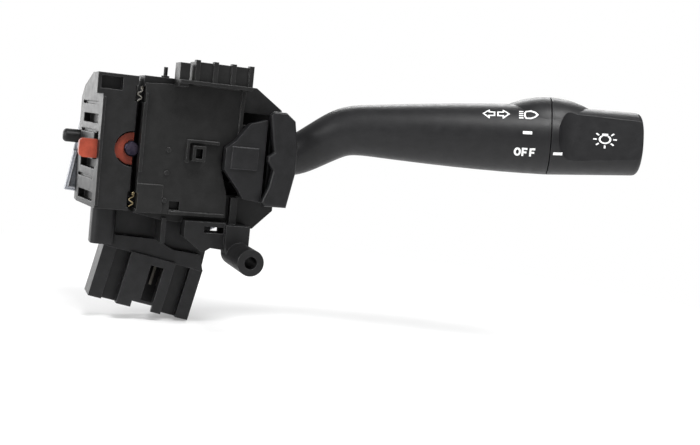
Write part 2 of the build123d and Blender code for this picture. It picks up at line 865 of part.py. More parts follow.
def hump(start, end):
    """Add the lens-shaped swelling on the back of the lever between two stations."""
    with BuildSketch(hump_plane) as lens:
        with BuildLine():
            ThreePointArc(
                (stalk_end_radius - 4.2, hump_start),
                (stalk_end_radius, seam_at),
                (stalk_end_radius - 4.2, hump_end),
            )
            Polyline(
                (stalk_end_radius - 4.2, hump_end),
                (0, hump_end),
                (0, hump_start),
                (stalk_end_radius - 4.2, hump_start),
            )
        make_face()
        with Locations((0, (start + end) / 2)):
            Rectangle(4 * stalk_end_radius, end - start, mode=Mode.INTERSECT)
    revolve(lens.sketch, axis=Axis(hump_plane.origin, axis_dir))


with BuildPart() as stalk:
    for station, radius in ((0, neck_radius), (1, stalk_start_radius)):
        tangent = neck_line.line % station
        with BuildSketch(Plane(neck_line.line @ station, x_dir=tangent.cross(Vector(0, 0, 1)), z_dir=tangent)):
            Circle(radius)
    sweep(path=neck_line.line, multisection=True)
    with BuildSketch(lever_profile):
        with BuildLine():
            Polyline(*taper, (0, seam_at), (0, 0), close=True)
        make_face()
    revolve(axis=Axis(stalk_start, axis_dir))
    hump(hump_start, seam_at)
    with BuildSketch(Plane.YZ.offset(root_right)):
        with Locations((neck_y, neck_z)):
            Rectangle(peg_size, peg_size)
    extrude(amount=peg_length, mode=Mode.SUBTRACT)
    # recess for the knob's spigot and the bore for its shaft
    with BuildSketch(along(recess_floor)):
        Circle(spigot_radius + 2 * free_gap)
    extrude(amount=seam_at - recess_floor + 1, mode=Mode.SUBTRACT)
    with BuildSketch(along(shaft_start - 1)):
        Circle(shaft_radius + running_fit)
    extrude(amount=seam_at - shaft_start, mode=Mode.SUBTRACT)
    # detent bore beside the shaft
    with BuildSketch(along(recess_floor - detent_depth, detent_angle)):
        with Locations((ball_orbit, 0)):
            Circle(ball_radius + running_fit)
    extrude(amount=detent_depth + 1, mode=Mode.SUBTRACT)
    # slot with the shaft stop pin, on the side away from the driver
    with BuildSketch(stop_plane.offset(stop_floor)):
        RectangleRounded(stop_slot_width, stop_slot_length, stop_slot_width * 0.4)
    extrude(amount=8, mode=Mode.SUBTRACT)
    with BuildSketch(stop_plane.offset(stop_floor)):
        Circle(stop_radius)
    extrude(amount=-stop_length, mode=Mode.SUBTRACT)
    # shallow notch in the underside of the neck
    with BuildSketch(notch_plane):
        RectangleRounded(notch_length, notch_width, 1.2)
    extrude(amount=neck_radius, mode=Mode.SUBTRACT)
write(stalk, "stalk")

with BuildPart() as stop_pin:
    with BuildSketch(stop_plane.offset(stop_floor - stop_length)):
        Circle(stop_radius)
    extrude(amount=stop_length + 1.2)
write(stop_pin, "stop_pin")

# ---------------------------------------------------------------- knob
knob_start = seam_at + seam_gap
knob_end = seam_at + knob_length
spigot_start = recess_floor + seam_gap
facet_normal = along(0, knob_facet_tilt).x_dir
facet_plane = Plane(origin=stalk_start, x_dir=facet_normal, z_dir=facet_normal.cross(axis_dir))

with BuildPart() as knob:
    with BuildSketch(lever_profile):
        with BuildLine():
            Polyline(
                (0, spigot_start),
                (spigot_radius, spigot_start),
                (spigot_radius, knob_start),
                (stalk_end_radius, knob_start),
                (knob_end_radius, knob_end - 0.8),
                (knob_end_radius * 0.55, knob_end - 0.1),
                (0, knob_end),
                close=True,
            )
        make_face()
    revolve(axis=Axis(stalk_start, axis_dir))
    fillet(knob.edges().filter_by(GeomType.CIRCLE).sort_by(Axis(stalk_start, axis_dir))[-2], 2.0)
    hump(knob_start, hump_end)
    # thumb facet on the driver's side, run out in a curve
    with BuildSketch(facet_plane):
        with BuildLine():
            Line((knob_facet, knob_end + 2), (knob_facet, seam_at + facet_start + 2.6))
            ThreePointArc(
                (knob_facet, seam_at + facet_start + 2.6),
                (knob_facet + 1.1, seam_at + facet_start - 1.4),
                (stalk_end_radius + 1.5, seam_at + facet_start - 4.4),
            )
            Line((stalk_end_radius + 1.5, seam_at + facet_start - 4.4), (stalk_end_radius + 1.5, knob_end + 2))
            Line((stalk_end_radius + 1.5, knob_end + 2), (knob_facet, knob_end + 2))
        make_face()
    extrude(amount=stalk_end_radius + 2, both=True, mode=Mode.SUBTRACT)
    with BuildSketch(along(spigot_start)):
        Circle(shaft_radius)
    extrude(amount=shaft_end - spigot_start, mode=Mode.SUBTRACT)
    # ring groove that the detent ball runs in
    with BuildSketch(lever_profile):
        with Locations((ball_orbit, ball_at)):
            Rectangle(2 * ball_radius + 0.4, 2 * ball_radius + 0.4)
    revolve(axis=Axis(stalk_start, axis_dir), mode=Mode.SUBTRACT)
write(knob, "knob")

with BuildPart() as knob_shaft:
    with BuildSketch(along(shaft_start)):
        Circle(shaft_radius)
    extrude(amount=shaft_end - shaft_start)
write(knob_shaft, "knob_shaft")

with BuildPart() as detent_ball:
    with Locations(along(ball_at, detent_angle).from_local_coords(Vector(ball_orbit, 0, 0))):
        Sphere(ball_radius)
write(detent_ball, "detent_ball")

with BuildPart() as detent_spring:
    spring_plane = along(recess_floor - detent_depth, detent_angle)
    spring_base = spring_plane.from_local_coords(Vector(ball_orbit, 0, wire_radius))
    with BuildLine() as coil:
        Helix(
            pitch=(spring_length - 2 * wire_radius) / spring_turns,
            height=spring_length - 2 * wire_radius,
            radius=spring_radius,
            center=spring_base,
            direction=axis_dir,
        )
    with BuildSketch(Plane(coil.line @ 0, z_dir=coil.line % 0)):
        RegularPolygon(wire_radius, 4)
    sweep(is_frenet=True)
write(detent_spring, "detent_spring")

# ---------------------------------------------------------------- connector
half_width = connector_width / 2
raised_left = -8.7
raised_right = 7.9
tab_width = 4.8
foot_width = 4.7
foot_centre = 11.9
latch_middle = raised_front - connector_wall - 0.8


def connector_outline(inset):
    """Sketch of the connector shroud moved in by an inset: end tabs, raised middle and plain back."""
    with BuildSketch() as outline:
        with Locations((0, (wall_front + wall_back) / 2)):
            Rectangle(connector_width - 2 * inset, wall_front - wall_back - 2 * inset)
        with Locations(((raised_left + raised_right) / 2, (raised_front + wall_back) / 2)):
            Rectangle(raised_right - raised_left - 2 * inset, raised_front - wall_back - 2 * inset)
        for side in (-1, 1):
            with Locations((side * (half_width - tab_width / 2), (tab_front + wall_back) / 2)):
                Rectangle(tab_width - 2 * inset, tab_front - wall_back - 2 * inset)
    return outline.sketch


def rows(wide):
    """Places of the wide or the narrow blades across the connector."""
    if wide:
        front, back = wide_left + wide_right, wide_left[:2] + wide_right
    else:
        front, back = narrow_front, narrow_back
    return [(x, row_front) for x in front] + [(x, row_back) for x in back]


seat_left = connector_plane.from_local_coords(Vector(-half_width, 0, 0.5))
seat_right = connector_plane.from_local_coords(Vector(half_width, 0, 0.5))

with BuildPart() as connector:
    with BuildSketch(connector_plane) as shell:
        add(connector_outline(0))
        fillet(shell.vertices().group_by(Axis.Y)[0], 1.8)
    extrude(amount=connector_length)
    with BuildSketch(connector_plane.offset(connector_floor)):
        add(connector_outline(connector_wall))
    extrude(amount=connector_length, mode=Mode.SUBTRACT)
    # feet on the back wall
    with BuildSketch(connector_plane.offset(1)):
        with Locations((-foot_centre, (wall_back + feet_back) / 2), (foot_centre, (wall_back + feet_back) / 2)):
            Rectangle(foot_width, wall_back - feet_back)
    extrude(amount=connector_length - 1)
    # ribs beside the latch, the latch window and the notch in the rim
    with BuildSketch(connector_plane.offset(connector_floor)):
        with Locations((latch_left - latch_rib / 2, latch_middle), (latch_right + latch_rib / 2, latch_middle)):
            Rectangle(latch_rib, latch_rib_height)
    extrude(amount=connector_length - connector_floor - 2.5)
    with BuildSketch(connector_plane.offset(3)):
        with Locations(((latch_left + latch_right) / 2 + connector_wall, raised_front)):
            Rectangle(latch_right - latch_left - 2 * connector_wall, latch_depth)
    extrude(amount=connector_length - 6.2, mode=Mode.SUBTRACT)
    with BuildSketch(connector_plane.offset(connector_length - 2.4)):
        with Locations(((latch_left + latch_right) / 2, raised_front)):
            Rectangle(latch_right - latch_left, latch_depth)
    extrude(amount=3, mode=Mode.SUBTRACT)
    # rounded column and the lip in front of the shoulder
    with BuildSketch(Plane.XY.offset(column_bottom)):
        with Locations(((column_left + column_right) / 2, (column_front + shoulder_front) / 2 + 1)):
            RectangleRounded(column_right - column_left, shoulder_front - column_front + 2, column_round)
    extrude(amount=frame_bottom - column_bottom)
    with BuildSketch(facing(shoulder_front - lip_proud)):
        with BuildLine():
            Polyline(
                (column_left + 3, column_bottom),
                (column_right - 0.5, column_bottom + 3.0),
                (end_wall_x, end_wall_bottom - 0.4),
                (-19.5, -2.0),
                (-9.5, -3.2),
                (seat_right.X, seat_right.Z),
                (seat_left.X, seat_left.Z),
                close=True,
            )
        make_face()
    extrude(amount=-(lip_proud + 0.6))
    # shoulder up into the housing
    with BuildSketch(facing(shoulder_front)):
        with BuildLine():
            Polyline(
                (column_left + 3, frame_bottom),
                (frame_right, frame_bottom),
                (body_left, body_bottom + 2),
                (body_left + 10, body_bottom),
                (lug_right, body_bottom - 1),
                (seat_right.X, seat_right.Z),
                (seat_left.X, seat_left.Z),
                close=True,
            )
        make_face()
    extrude(amount=-(body_back - shoulder_front))
    # blade slots
    with BuildSketch(connector_plane.offset(-blade_tail)):
        with Locations(*rows(True)):
            Rectangle(wide_blade, blade_thickness)
        with Locations(*rows(False)):
            Rectangle(narrow_blade, blade_thickness)
    extrude(amount=blade_tail + connector_floor, mode=Mode.SUBTRACT)
write(connector, "connector")

for label, wide, blade_width in (("wide_blades", True, wide_blade), ("narrow_blades", False, narrow_blade)):
    with BuildPart() as blades:
        with BuildSketch(connector_plane.offset(-blade_tail)):
            with Locations(*rows(wide)):
                Rectangle(blade_width, blade_thickness)
        extrude(amount=blade_tail + connector_floor + blade_length)
    write(blades, label)

# ---------------------------------------------------------------- rear cover
tab_start = 50.5
tab_window = 53.4
tab_rise = 0.9
slope_fall = slope_drop / (frame_back - slope_front)
cover_top = body_back_top - 2.5
tab_profile = [
    (cover_back, cover_top - 3.0),
    (cover_back, body_back_top),
    (body_back, body_back_top + 0.3 + slope_fall + tab_rise),
    (tab_start, body_back_top + (body_back - tab_start) * slope_fall + 0.3 + tab_rise),
    (tab_start, body_back_top + (body_back - tab_start) * slope_fall + 0.1),
    (body_back, body_back_top + 0.1),
    (body_back, cover_top - 3.0),
]
cover_points = [
    (-58.0, 15.5),
    (-55.8, 28.7),
    (-53.4, cover_top - 2.4),
    (-52.4, cover_top - 1.4),
    (hook_spans[0][0] - 1.5, cover_top - 1.0),
    (hook_spans[0][0] - 0.3, hook_bottom - 0.9),
    (hook_spans[1][1] + 0.3, hook_bottom - 2.5),
    (hook_spans[1][1] + 1.2, cover_top),
    (14.4, cover_top),
    (15.4, cover_top - 1.4),
    (14.6, 20.0),
    (12.1, 14.1),
    (8.2, 9.8),
    (3.4, 6.6),
    (-2.0, 3.8),
    (-7.6, 1.8),
    (-14.6, 0.9),
    (-21.7, 1.0),
    (-32.0, 4.2),
    (-32.6, 13.5),
]
step_line = [(-36.0, 39.0), (-24.0, 33.0), (-12.0, 38.0), (-2.0, 38.0)]


def cover_outline(inset):
    """Sketch of the rear cover's outline moved in by an inset."""
    with BuildSketch() as outline:
        with BuildLine():
            Polyline(*cover_points, close=True)
        make_face()
        if inset:
            offset(amount=-inset, kind=Kind.INTERSECTION, mode=Mode.REPLACE)
    return outline.sketch


with BuildPart() as rear_cover:
    with BuildSketch(facing(body_back)):
        add(cover_outline(0))
    extrude(amount=-(cover_back - body_back))
    # hollow, shallower behind the sloping facet
    with BuildSketch(facing(body_back)):
        add(cover_outline(cover_wall))
    extrude(amount=-cover_hollow, mode=Mode.SUBTRACT)
    with BuildSketch(facing(body_back)):
        add(cover_outline(cover_wall))
        with Locations((facet_left + body_top, pin_z)):
            Rectangle(2 * body_top, 2 * body_top, mode=Mode.SUBTRACT)
    extrude(amount=-(cover_back - body_back - cover_wall), mode=Mode.SUBTRACT)
    with BuildSketch(Plane.XY):
        with BuildLine():
            Polyline(
                (facet_left, cover_back),
                (body_right + 4, cover_back),
                (body_right + 4, cover_back - facet_drop),
                close=True,
            )
        make_face()
    extrude(amount=body_top, mode=Mode.SUBTRACT)
    # raised step over the contacts
    with BuildSketch(facing(cover_back)):
        with BuildLine():
            Polyline(*step_line, *[(x, z - cover_step_height) for x, z in reversed(step_line)], close=True)
        make_face()
    extrude(amount=-cover_step)
    # snap tabs that lie on the sloping top, each with a window
    for tab_x in cover_tabs:
        with BuildSketch(Plane.YZ.offset(tab_x - tab_size / 2)):
            with BuildLine():
                Polyline(*tab_profile, close=True)
            make_face()
        extrude(amount=tab_size)
        with BuildSketch(Plane.XZ.offset(-tab_start)):
            with Locations((tab_x, body_back_top + 3)):
                Rectangle(tab_size - 2 * tab_wall, slope_drop)
        extrude(amount=-(tab_window - tab_start), mode=Mode.SUBTRACT)
    # relief in the rim for the bracket that the locating pin enters
    with BuildSketch(facing(body_back - 1)):
        with Locations((pin_tip - 0.1, pin_z)):
            Rectangle(2 * (frame_back_left - pin_tip), 4 * pin_radius + 2)
    extrude(amount=-(cover_back - body_back - cover_wall + 1), mode=Mode.SUBTRACT)
write(rear_cover, "rear_cover")

# ---------------------------------------------------------------- contact board and its strips
with BuildPart() as contact_board:
    with BuildSketch(facing(body_back)):
        with Locations((board_x, board_z)):
            Rectangle(board_width, board_height)
    extrude(amount=-board_thickness)
write(contact_board, "contact_board")

with BuildPart() as contact_strips:
    with BuildSketch(facing(body_back + board_thickness)):
        for strip in range(strip_count):
            with Locations((board_x, board_z + (strip - (strip_count - 1) / 2) * strip_pitch)):
                Rectangle(board_width - 6 - 2 * strip, strip_width)
                with Locations((board_width / 2 - 6 - strip, strip_width)):
                    Rectangle(strip_foot, strip_width * 1.6)
    extrude(amount=-strip_thickness)
write(contact_strips, "contact_strips")
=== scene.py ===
"""Looks for the combination stalk switch: finishes, printed marks, small pieces, floor, light and camera."""

from math import cos, pi, radians, sin

import bmesh
import bpy
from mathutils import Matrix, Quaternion, Vector
from mathutils.bvhtree import BVHTree


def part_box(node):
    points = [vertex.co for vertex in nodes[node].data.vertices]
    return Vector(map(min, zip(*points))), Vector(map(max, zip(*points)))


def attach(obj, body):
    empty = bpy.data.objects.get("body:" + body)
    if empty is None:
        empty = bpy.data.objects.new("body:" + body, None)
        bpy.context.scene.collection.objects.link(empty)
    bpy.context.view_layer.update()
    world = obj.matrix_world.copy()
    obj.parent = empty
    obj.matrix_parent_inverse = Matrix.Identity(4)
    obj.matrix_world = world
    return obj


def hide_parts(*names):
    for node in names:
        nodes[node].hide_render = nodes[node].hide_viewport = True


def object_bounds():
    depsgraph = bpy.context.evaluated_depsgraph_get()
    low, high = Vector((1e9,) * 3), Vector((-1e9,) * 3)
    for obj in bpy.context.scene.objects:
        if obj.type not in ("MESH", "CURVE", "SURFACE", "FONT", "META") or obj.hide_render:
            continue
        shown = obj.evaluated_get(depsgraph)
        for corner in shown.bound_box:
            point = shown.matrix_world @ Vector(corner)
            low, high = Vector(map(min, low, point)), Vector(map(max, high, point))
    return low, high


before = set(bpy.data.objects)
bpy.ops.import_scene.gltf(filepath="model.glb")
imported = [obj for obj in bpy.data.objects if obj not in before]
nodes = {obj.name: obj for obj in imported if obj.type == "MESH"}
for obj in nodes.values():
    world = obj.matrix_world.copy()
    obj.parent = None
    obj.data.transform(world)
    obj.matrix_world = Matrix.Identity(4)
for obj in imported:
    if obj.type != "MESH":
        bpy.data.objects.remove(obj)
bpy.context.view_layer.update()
MM = 0.001

# ---------------------------------------------------------------- places in millimetres, as in the CAD
STALK_START = Vector((44.6, 18.1, 48.7))
YAW = radians(26.0)
RISE = radians(3.1)
SEAM_AT = 65.0
GRIP_RADIUS = 12.0
COVER_RIDGE = (2.5, 59.0)  # the x of the rear cover's facet, and the y where the painted highlight along its ridge is in full
AXIS = Vector((cos(YAW) * cos(RISE), -sin(YAW) * cos(RISE), sin(RISE)))
TO_DRIVER = Vector((-sin(YAW), -cos(YAW), 0))
UPWARDS = TO_DRIVER.cross(AXIS)


# ---------------------------------------------------------------- node materials
class Shader:
    """A material's node tree with short ways to add and join nodes."""

    def __init__(self, name):
        self.material = bpy.data.materials.new(name)
        self.material.use_nodes = True
        self.tree = self.material.node_tree
        self.tree.nodes.clear()
        self.out = self.tree.nodes.new("ShaderNodeOutputMaterial")
        self.bsdf = self.tree.nodes.new("ShaderNodeBsdfPrincipled")
        self.join(self.bsdf.outputs[0], self.out.inputs[0])
        self.coord = self.tree.nodes.new("ShaderNodeTexCoord").outputs["Object"]

    def join(self, a, b):
        self.tree.links.new(a, b)

    def set(self, **values):
        for key, value in values.items():
            self.bsdf.inputs[key.replace("_", " ")].default_value = value

    def noise(self, scale, detail=3.0, rough=0.5, stretch=None):
        node = self.tree.nodes.new("ShaderNodeTexNoise")
        node.inputs["Scale"].default_value = scale
        node.inputs["Detail"].default_value = detail
        node.inputs["Roughness"].default_value = rough
        source = self.coord
        if stretch:
            mapping = self.tree.nodes.new("ShaderNodeMapping")
            mapping.inputs["Scale"].default_value = stretch
            self.join(self.coord, mapping.inputs[0])
            source = mapping.outputs[0]
        self.join(source, node.inputs["Vector"])
        return node.outputs[0]

    def ramp(self, source, stops):
        node = self.tree.nodes.new("ShaderNodeValToRGB")
        points = node.color_ramp.elements
        while len(points) < len(stops):
            points.new(0.5)
        for point, (place, colour) in zip(points, stops):
            point.position = place
            point.color = (*colour, 1.0)
        self.join(source, node.inputs[0])
        return node.outputs[0]

    def remap(self, source, low, high, start=0.3, end=0.7):
        node = self.tree.nodes.new("ShaderNodeMapRange")
        for key, value in (("From Min", start), ("From Max", end), ("To Min", low), ("To Max", high)):
            node.inputs[key].default_value = value
        self.join(source, node.inputs[0])
        return node.outputs[0]

    def maths(self, kind, a, b=None):
        node = self.tree.nodes.new("ShaderNodeMath")
        node.operation = kind
        for place, value in ((0, a), (1, b)):
            if value is None:
                continue
            if isinstance(value, (int, float)):
                node.inputs[place].default_value = value
            else:
                self.join(value, node.inputs[place])
        return node.outputs[0]

    def mix(self, factor, a, b):
        node = self.tree.nodes.new("ShaderNodeMix")
        node.data_type = "RGBA"
        for place, value in ((0, factor), (6, a), (7, b)):
            if isinstance(value, tuple):
                node.inputs[place].default_value = (*value, 1.0)
            elif isinstance(value, (int, float)):
                node.inputs[place].default_value = value
            else:
                self.join(value, node.inputs[place])
        return node.outputs[2]

    def soft_edges(self, radius):
        node = self.tree.nodes.new("ShaderNodeBevel")
        node.samples = 4
        node.inputs["Radius"].default_value = radius
        return node.outputs[0]

    def edge_mask(self, rounded, low=0.02, high=0.25):
        """1 on the rounded edges and 0 on the faces."""
        geometry = self.tree.nodes.new("ShaderNodeNewGeometry")
        dot = self.tree.nodes.new("ShaderNodeVectorMath")
        dot.operation = "DOT_PRODUCT"
        self.join(rounded, dot.inputs[0])
        self.join(geometry.outputs["Normal"], dot.inputs[1])
        away = self.maths("SUBTRACT", 1.0, dot.outputs["Value"])
        return self.remap(away, 0.0, 1.0, low, high)

    def sheltered(self, reach):
        """Ambient occlusion as a mask for painted shade: low in corners and recesses and 1 on open faces."""
        node = self.tree.nodes.new("ShaderNodeAmbientOcclusion")
        node.samples = 6
        node.inputs["Distance"].default_value = reach
        return self.remap(node.outputs["AO"], 0.0, 1.0, 0.15, 0.75)

    def bump(self, height, strength, distance, normal=None):
        node = self.tree.nodes.new("ShaderNodeBump")
        node.inputs["Strength"].default_value = strength
        node.inputs["Distance"].default_value = distance
        self.join(height, node.inputs["Height"])
        if normal is not None:
            self.join(normal, node.inputs["Normal"])
        return node.outputs[0]


def moulded(name, dark, light, rough=(0.42, 0.58), edge=0.3, grain=0.25, wear_and_highlight=5.0, specular=0.27, deep=0.25):
    """Moulded plastic: cloudy colour, eroded grain, painted shade in the recesses, and edges painted
    brighter, partly as wear and partly as a painted highlight.
    """
    s = Shader(name)
    s.set(Specular_IOR_Level=specular)
    cloud = s.noise(260, 4.0)
    speck = s.noise(1900, 2.0)
    colour = s.ramp(s.maths("ADD", s.maths("MULTIPLY", cloud, 0.7), s.maths("MULTIPLY", speck, 0.3)),
                    ((0.32, dark), (0.68, light)))
    # painted shade: the colour goes darker in corners and recesses, where shade falls
    if deep < 1.0:
        recess_shade = tuple(deep * c for c in dark)
        colour = s.mix(s.sheltered(7 * MM), recess_shade, colour)
    rounded = s.soft_edges(edge * MM)
    # edges painted brighter: partly rubbed wear, partly a painted highlight where light catches them
    rubbed_and_highlit = s.maths("MULTIPLY", s.edge_mask(rounded), s.remap(s.noise(620, 3.0), 0.35, 1.0, 0.4, 0.62))
    brighter = tuple(min(1.0, wear_and_highlight * c + 0.03) for c in light)
    s.join(s.mix(rubbed_and_highlit, colour, brighter), s.bsdf.inputs["Base Color"])
    sheen = s.maths("SUBTRACT", s.remap(s.noise(430, 3.0), *rough), s.maths("MULTIPLY", rubbed_and_highlit, 0.16))
    s.join(sheen, s.bsdf.inputs["Roughness"])
    s.join(s.bump(s.noise(3600, 2.0, 0.6), grain, 0.00006, rounded), s.bsdf.inputs["Normal"])
    return s.material


def plated(name, colour, rough=(0.22, 0.36), edge=0.12, tint=None, deep=1.0):
    """Plated or turned metal with drawn lines, soft staining, painted shade in the recesses and rounded
    edges.
    """
    s = Shader(name)
    s.set(Metallic=1.0)
    stain = s.noise(520, 4.0)
    darker = tint or tuple(c * 0.72 for c in colour)
    surface = s.ramp(stain, ((0.35, darker), (0.6, colour)))
    # painted shade: the colour goes darker in corners and recesses, where shade falls
    if deep < 1.0:
        surface = s.mix(s.sheltered(9 * MM), tuple(deep * c for c in darker), surface)
    s.join(surface, s.bsdf.inputs["Base Color"])
    s.join(s.remap(s.noise(900, 3.0), *rough), s.bsdf.inputs["Roughness"])
    lines = s.noise(700, 2.0, stretch=(1.0, 1.0, 9.0))
    s.join(s.bump(lines, 0.25, 0.00004, s.soft_edges(edge * MM)), s.bsdf.inputs["Normal"])
    return s.material


def milky(name, ridge):
    """Milky polypropylene with a dust haze, painted shade in its recesses, painted highlights on its edges,
    and a painted highlight along a ridge at an x, in full by a y.
    """
    ridge_x, ridge_y = ridge
    s = Shader(name)
    s.set(IOR=1.49, Transmission_Weight=0.1, Subsurface_Weight=0.3, Subsurface_Scale=1.2 * MM)
    s.set(Subsurface_Radius=(1.0, 1.0, 1.0))
    haze = s.noise(1300, 2.0)
    flow = s.noise(120, 2.0, stretch=(0.4, 1.0, 2.0))
    tone = s.maths("ADD", s.maths("MULTIPLY", haze, 0.5), s.maths("MULTIPLY", flow, 0.5))
    body = s.ramp(tone, ((0.3, (0.268, 0.281, 0.313)), (0.7, (0.300, 0.314, 0.349))))
    # painted shade: the cover goes darker in corners and recesses
    body = s.mix(s.sheltered(5 * MM), (0.16, 0.17, 0.19), body)
    rounded = s.soft_edges(0.16 * MM)
    # painted highlights: near-white on the rounded edges, where light catches them
    rim_highlights = s.maths("MULTIPLY", s.edge_mask(s.soft_edges(0.65 * MM), 0.003, 0.06), s.remap(haze, 0.6, 0.9))
    # painted highlight along the ridge at the facet's x, fading in towards its y
    split = s.tree.nodes.new("ShaderNodeSeparateXYZ")
    s.join(s.coord, split.inputs[0])
    across = s.maths("ABSOLUTE", s.maths("SUBTRACT", split.outputs[0], ridge_x * MM))
    line = s.maths("MULTIPLY", s.remap(across, 0.38, 0.0, 0.1 * MM, 0.75 * MM),
                   s.remap(split.outputs[1], 0.0, 1.0, (ridge_y - 1.0) * MM, (ridge_y - 0.5) * MM))
    rim_highlights = s.maths("MAXIMUM", rim_highlights, line)
    s.join(s.mix(rim_highlights, body, (0.90, 0.91, 0.94)), s.bsdf.inputs["Base Color"])
    s.join(s.remap(haze, 0.26, 0.30), s.bsdf.inputs["Roughness"])
    s.join(s.bump(s.noise(1500, 2.0), 0.04, 0.00006, rounded), s.bsdf.inputs["Normal"])
    return s.material


def printed(name):
    """Pad-printed white ink, a little thin in places."""
    s = Shader(name)
    s.set(Specular_IOR_Level=0.35)
    s.join(s.ramp(s.noise(1600, 3.0), ((0.3, (0.66, 0.67, 0.68)), (0.6, (0.88, 0.88, 0.87)))),
           s.bsdf.inputs["Base Color"])
    s.join(s.remap(s.noise(2400, 2.0), 0.4, 0.6), s.bsdf.inputs["Roughness"])
    s.join(s.bump(s.noise(5200, 2.0), 0.2, 0.00003), s.bsdf.inputs["Normal"])
    return s.material


BODY_BLACK = moulded("body_black", (0.0052, 0.0052, 0.0054), (0.0115, 0.0115, 0.012), rough=(0.4, 0.5))
PLATE_BLACK = moulded("plate_black", (0.0058, 0.0058, 0.0058), (0.0122, 0.0122, 0.0122),
                      rough=(0.38, 0.5), edge=0.35)
FRAME_BLACK = moulded("frame_black", (0.0068, 0.0068, 0.0068), (0.0135, 0.0135, 0.014),
                      rough=(0.38, 0.46), edge=0.4)
PLUG_BLACK = moulded("plug_black", (0.0072, 0.0072, 0.0077), (0.0145, 0.0145, 0.0155),
                     rough=(0.36, 0.44), edge=0.3)
BRACKET_BLACK = moulded("bracket_black", (0.006, 0.006, 0.0065), (0.0125, 0.0125, 0.0135),
                        rough=(0.36, 0.44), edge=0.4)
STALK_BLACK = moulded("stalk_black", (0.0075, 0.0075, 0.0082), (0.0122, 0.0122, 0.0132),
                      rough=(0.38, 0.47), edge=0.3, grain=0.4, wear_and_highlight=2.6, specular=0.3, deep=1.0)
PAWL_RED = moulded("pawl_red", (0.21, 0.032, 0.016), (0.36, 0.062, 0.032),
                   rough=(0.34, 0.5), wear_and_highlight=1.25, deep=0.4)
BOARD = moulded("board_plastic", (0.035, 0.036, 0.034), (0.07, 0.072, 0.068),
                rough=(0.5, 0.65), wear_and_highlight=1.2)
COVER = milky("cover_milky", COVER_RIDGE)
INK = printed("white_ink")
STEEL = plated("pin_steel", (0.55, 0.56, 0.58))
POST_STEEL = plated("post_oiled", (0.085, 0.07, 0.10),
                    rough=(0.25, 0.4), tint=(0.03, 0.026, 0.042), deep=0.5)
# tin darkened to stand for the shade inside the connector, with deep painted shade in its recesses
TINNED = plated("tinned_blades", (0.24, 0.225, 0.195), rough=(0.34, 0.46), deep=0.1)
LEAF_STEEL = plated("leaf_steel", (0.62, 0.60, 0.54),
                    rough=(0.2, 0.34), edge=0.15, tint=(0.12, 0.10, 0.07), deep=0.4)
LEAF_GOLD = plated("leaf_gold", (0.58, 0.47, 0.27),
                   rough=(0.2, 0.34), edge=0.15, tint=(0.20, 0.15, 0.08), deep=0.4)
STRIP_BRASS = plated("strip_brass", (0.70, 0.52, 0.24), rough=(0.22, 0.36), tint=(0.46, 0.33, 0.15))

FINISH = {
    "housing": BODY_BLACK,
    "front_plate": PLATE_BLACK,
    "leaf_springs": LEAF_STEEL,
    "contact_strips": STRIP_BRASS,
    "cancel_frame": FRAME_BLACK,
    "locating_pin": FRAME_BLACK,
    "pawl_post": POST_STEEL,
    "cancel_pawl": PAWL_RED,
    "turn_pin": STEEL,
    "turn_bracket": BRACKET_BLACK,
    "dimmer_pin": STEEL,
    "lever_root": BRACKET_BLACK,
    "lever_shield": BRACKET_BLACK,
    "stalk": STALK_BLACK,
    "stop_pin": STEEL,
    "knob": STALK_BLACK,
    "knob_shaft": STEEL,
    "detent_ball": STEEL,
    "detent_spring": STEEL,
    "connector": PLUG_BLACK,
    "wide_blades": TINNED,
    "narrow_blades": TINNED,
    "rear_cover": COVER,
    "contact_board": BOARD,
}
for name, item in nodes.items():
    mesh = item.data
    mesh.materials.clear()
    mesh.materials.append(FINISH[name])


# ---------------------------------------------------------------- pieces made here
def as_object(mesh, name, *materials):
    """Object in the scene with a finished bmesh and its materials."""
    data = bpy.data.meshes.new(name)
    mesh.to_mesh(data)
    mesh.free()
    for material in materials:
        data.materials.append(material)
    item = bpy.data.objects.new(name, data)
    bpy.context.scene.collection.objects.link(item)
    return item


def close_rings(mesh, rings):
    """Faces between each ring and the next, and from the last back to the first, facing out."""
    count = len(rings[0])
    for a, b in zip(rings, rings[1:] + rings[:1]):
        for i in range(count):
            k = (i + 1) % count
            mesh.faces.new((a[i], a[k], b[k], b[i]))
    bmesh.ops.recalc_face_normals(mesh, faces=mesh.faces)


# ---------------------------------------------------------------- printed marks
PRINT_LIFT = 0.05
PRINT_STEP = 0.35
PROBE_START = 40 * MM
LETTER_STROKE = 0.7
DASH_STROKE = 1.0
LINE_STROKE = 0.5

# each mark's distance along the lever's axis, and its degrees up from the driver's side
OFF_AT = (56.4, -22)
PARK_AT = (56.9, 10)
HEADLAMP_AT = (57.2, 43)
TURN_AT = (45.8, 43)
POINTER_AT = (67.9, -22)
LAMPS_AT = (84.2, 9)


def surface_of(name):
    """Search tree of a CAD node's surface, in metres."""
    mesh = nodes[name].data
    corners = [v.co.copy() for v in mesh.vertices]
    faces = [tuple(p.vertices) for p in mesh.polygons]
    return BVHTree.FromPolygons(corners, faces)


SURFACES = {name: surface_of(name) for name in ("stalk", "knob")}


def outward(angle):
    """Direction away from the lever's axis at an angle up from the driver's side."""
    return TO_DRIVER * cos(angle) + UPWARDS * sin(angle)


def on_surface(node, station, angle, lift=PRINT_LIFT):
    """Point on the lever at a distance along its axis and an angle up from the driver's side."""
    way = outward(angle)
    origin = (STALK_START + AXIS * station) * MM
    hit = SURFACES[node].ray_cast(origin + way * PROBE_START, -way)[0]
    if hit is None:
        hit = origin + way * GRIP_RADIUS * MM
    return hit + way * lift * MM


